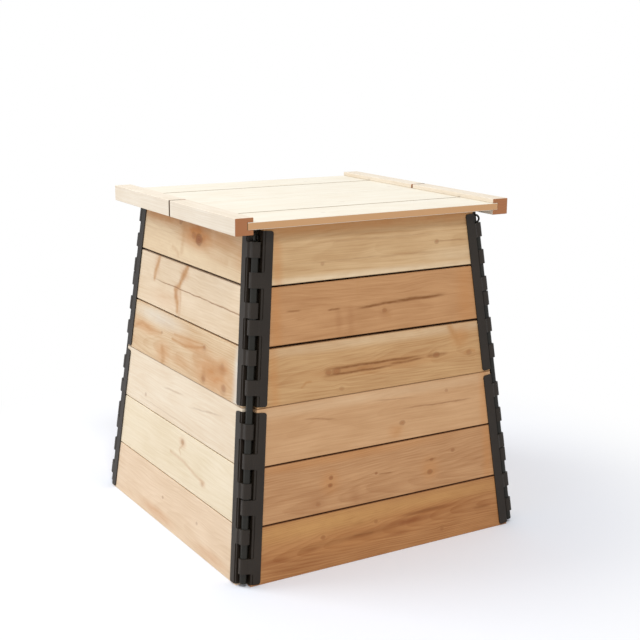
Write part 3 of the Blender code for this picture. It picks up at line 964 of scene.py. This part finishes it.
def pan_head():
    """A screw's domed head, its flat side on the origin and its dome towards +Z."""
    profile = ((1.0, 0.0), (1.0, 0.35), (0.86, 0.72), (0.55, 0.94), (0.0, 1.0))
    solid = bmesh.new()
    points = [solid.verts.new((x * HEAD_RADIUS, 0, z * HEAD_HEIGHT)) for x, z in profile]
    edges = [solid.edges.new(pair) for pair in zip(points, points[1:])]
    geometry = points + edges
    bmesh.ops.spin(solid, geom=geometry, axis=(0, 0, 1), cent=(0, 0, 0), angle=2 * math.pi, steps=20)
    bmesh.ops.remove_doubles(solid, verts=solid.verts, dist=0.00001)
    bmesh.ops.holes_fill(solid, edges=[edge for edge in solid.edges if edge.is_boundary])
    bmesh.ops.recalc_face_normals(solid, faces=solid.faces)
    return stored(solid, "screw_head")


def cross_recess():
    """Two crossed bars that cut the recess into a screw's head."""
    solid = bmesh.new()
    for turn in (0.0, math.pi / 2):
        bar = bmesh.ops.create_cube(solid, size=1.0)["verts"]
        bmesh.ops.scale(solid, vec=(HEAD_RADIUS * 1.1, HEAD_RADIUS * 0.26, HEAD_HEIGHT), verts=bar)
        bmesh.ops.rotate(solid, matrix=Matrix.Rotation(turn, 3, "Z"), verts=bar)
        bmesh.ops.translate(solid, vec=(0, 0, HEAD_HEIGHT * 1.05), verts=bar)
    return stored(solid, "screw_recess")


def screw_mesh():
    """A pan head with a cross recess."""
    head, recess = linked(pan_head()), linked(cross_recess())
    cut = head.modifiers.new("recess", "BOOLEAN")
    cut.operation = "DIFFERENCE"
    cut.use_self = True
    cut.object = recess
    mesh = bpy.data.meshes.new_from_object(head.evaluated_get(bpy.context.evaluated_depsgraph_get()))
    for item in (head, recess):
        bpy.data.objects.remove(item, do_unlink=True)
    mesh.shade_smooth()
    mesh.set_sharp_from_angle(angle=math.radians(40))
    return mesh


def board_end(node, axes, end, level):
    """Distance of one end of a board, 1 or -1, from its middle at a level across it."""
    spots = [vertex.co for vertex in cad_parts[node].data.vertices]
    reaches = [(spot.dot(axes.along) * end, spot.dot(axes.across) - axes.low) for spot in spots]
    low = max(reach for reach, height in reaches if height < axes.width * 0.3)
    high = max(reach for reach, height in reaches if height > axes.width * 0.7)
    return low + (high - low) * level / axes.width


def add_screws(side, tier, head, material):
    """The screws that hold one panel's boards in its strips, in the inner flanges."""
    solid = bmesh.new()
    chance = random.Random(side + tier)
    for course in COURSES:
        node = f"{side}_{tier}_board_{course}"
        axes = face_axes(node, OUTWARD[side])
        depth = axes.face + axes.depth + FLANGE_FACE
        stance = Matrix((axes.along, axes.inward.cross(axes.along), axes.inward)).transposed().to_4x4()
        for end, level in itertools.product((-1, 1), (SCREW_EDGE, axes.width - SCREW_EDGE)):
            reach = end * (board_end(node, axes, end, level) - SCREW_INSET)
            spot = axes.along * reach + axes.across * (axes.low + level) + axes.inward * depth
            turn = Matrix.Rotation(chance.uniform(0, math.pi), 4, "Z")
            first = len(solid.verts)
            solid.from_mesh(head)
            solid.verts.ensure_lookup_table()
            place = Matrix.Translation(spot) @ stance @ turn
            bmesh.ops.transform(solid, matrix=place, verts=solid.verts[first:])
    mesh = stored(solid, f"{side}_{tier}_screws")
    mesh.materials.append(material)
    item = linked(mesh)
    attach(item, "walls")


def screw_steel():
    """Zinc-plated steel with a faint uneven sheen."""
    shader = Shader("screw_steel")
    spot = shader.out(shader.place, "Object")
    cloud = shader.noise(spot, scale=260.0, detail=3.0)
    base = shader.mix(cloud, srgb(196, 190, 172), srgb(160, 156, 146))
    return shader.finish(Base_Color=base, Metallic=1.0, Roughness=0.3 + cloud * 0.2)


class BIN_OT_screws(bpy.types.Operator):
    """Set the screws in the inner flanges of the hinge strips"""

    bl_idname = "bin.screws"
    bl_label = "Screws"

    def execute(self, context):
        head = screw_mesh()
        material = screw_steel()
        for side, tier in itertools.product(SIDES, TIERS):
            add_screws(side, tier, head, material)
        return {"FINISHED"}


# Stage


def add_camera(settings):
    """The camera at the photograph's place, without shift."""
    azimuth, elevation, roll = settings.azimuth, settings.elevation, settings.roll
    level = math.cos(elevation)
    back = Vector((math.sin(azimuth) * level, -math.cos(azimuth) * level, math.sin(elevation)))
    right = Vector((math.cos(azimuth), math.sin(azimuth), 0))
    up = back.cross(right)
    turned_right = right * math.cos(roll) + up * math.sin(roll)
    turned_up = up * math.cos(roll) - right * math.sin(roll)
    camera = bpy.data.cameras.new("camera")
    camera.lens = settings.lens
    camera.sensor_width = 36
    item = linked(camera)
    turn = Matrix((turned_right, turned_up, back)).transposed().to_4x4()
    item.matrix_world = Matrix.Translation(settings.position) @ turn
    bpy.context.scene.camera = item


def add_lamp(name, position, target, size, power):
    """A square area lamp that looks at a target."""
    lamp = bpy.data.lights.new(name, "AREA")
    lamp.size = size
    lamp.energy = power
    item = linked(lamp)
    item.location = position
    item.rotation_euler = (Vector(position) - Vector(target)).to_track_quat("Z", "Y").to_euler()


def add_floor(color, seen_color):
    """A wide pale floor, which the camera sees in its own colour and pure white away from the bin."""
    solid = bmesh.new()
    bmesh.ops.create_grid(solid, x_segments=1, y_segments=1, size=40.0)
    item = linked(stored(solid, "floor"))
    shader = Shader("floor_paint")
    seen = shader.out(shader.node("ShaderNodeLightPath"), "Is Camera Ray")
    away = shader.length(shader.out(shader.place, "Object"))
    shader.finish(Base_Color=shader.mix(seen, color, seen_color), Roughness=0.9, Specular_IOR_Level=0.0)
    white = shader.node("ShaderNodeEmission")
    blend = shader.node("ShaderNodeMixShader", None, {0: seen * shader.step(away, *FLOOR_FADE)})
    shader.tree.links.new(shader.surface.outputs[0], blend.inputs[1])
    shader.tree.links.new(white.outputs[0], blend.inputs[2])
    shader.tree.links.new(blend.outputs[0], shader.tree.nodes["Material Output"].inputs["Surface"])
    item.data.materials.append(shader.material)


def set_world(strength):
    """A white room, pure white where the camera, a sheen or a clear material sees it."""
    world = bpy.data.worlds.new("room")
    world.use_nodes = True
    bpy.context.scene.world = world
    tree = world.node_tree
    background = tree.nodes["Background"]
    background.inputs["Color"].default_value = (1, 1, 1, 1)
    path = tree.nodes.new("ShaderNodeLightPath")
    seen = tree.nodes.new("ShaderNodeMapRange")
    first = tree.nodes.new("ShaderNodeMath")
    second = tree.nodes.new("ShaderNodeMath")
    first.operation = second.operation = "MAXIMUM"
    tree.links.new(path.outputs["Is Camera Ray"], first.inputs[0])
    tree.links.new(path.outputs["Is Glossy Ray"], first.inputs[1])
    tree.links.new(first.outputs[0], second.inputs[0])
    tree.links.new(path.outputs["Is Transmission Ray"], second.inputs[1])
    tree.links.new(second.outputs[0], seen.inputs["Value"])
    seen.inputs["To Min"].default_value = strength
    seen.inputs["To Max"].default_value = 1.0
    tree.links.new(seen.outputs["Result"], background.inputs["Strength"])


class BIN_OT_stage(bpy.types.Operator):
    """Set the camera, the lamps, the room and the floor"""

    bl_idname = "bin.stage"
    bl_label = "Stage"

    def execute(self, context):
        settings = context.scene.bin_stage
        add_camera(settings)
        add_lamp("key_lamp", (-2.97, 2.03, 3.15), target=(0, 0, 0.45), size=2.4, power=settings.key_power)
        add_lamp("fill_lamp", (-1.6, -4.6, 7.2), target=(0, 0, 0.5), size=1.3, power=settings.fill_power)
        add_floor(tuple(settings.floor_color), tuple(settings.seen_floor_color))
        set_world(settings.surround)
        context.scene.view_settings.view_transform = "Standard"
        return {"FINISHED"}


class BIN_PT_panel(bpy.types.Panel):
    """Sidebar panel that lists the pieces"""

    bl_idname = "BIN_PT_panel"
    bl_label = "Compost bin"
    bl_space_type = "VIEW_3D"
    bl_region_type = "UI"
    bl_category = "Compost bin"

    def draw(self, context):
        for group in (context.scene.bin_wood, context.scene.bin_plastic, context.scene.bin_stage):
            for key in group.__annotations__:
                self.layout.prop(group, key)
        for operator in OPERATORS:
            self.layout.operator(operator.bl_idname)


OPERATORS = (
    BIN_OT_front_wall,
    BIN_OT_left_wall,
    BIN_OT_hidden_walls,
    BIN_OT_lid_boards,
    BIN_OT_battens,
    BIN_OT_strips,
    BIN_OT_rods,
    BIN_OT_screws,
    BIN_OT_stage,
)
CLASSES = (WoodSettings, PlasticSettings, StageSettings, *OPERATORS, BIN_PT_panel)


def register():
    """Registers the classes and the scene's settings."""
    for item in CLASSES:
        bpy.utils.register_class(item)
    bpy.types.Scene.bin_wood = bpy.props.PointerProperty(type=WoodSettings)
    bpy.types.Scene.bin_plastic = bpy.props.PointerProperty(type=PlasticSettings)
    bpy.types.Scene.bin_stage = bpy.props.PointerProperty(type=StageSettings)


def unregister():
    """Removes the scene's settings and the classes."""
    del bpy.types.Scene.bin_stage
    del bpy.types.Scene.bin_plastic
    del bpy.types.Scene.bin_wood
    for item in reversed(CLASSES):
        bpy.utils.unregister_class(item)


def main():
    """Dresses the whole bin."""
    register()
    bpy.ops.bin.front_wall()
    bpy.ops.bin.left_wall()
    bpy.ops.bin.hidden_walls()
    bpy.ops.bin.lid_boards()
    bpy.ops.bin.battens()
    bpy.ops.bin.strips()
    bpy.ops.bin.rods()
    bpy.ops.bin.screws()
    bpy.ops.bin.stage()


if __name__ == "__main__":
    main()
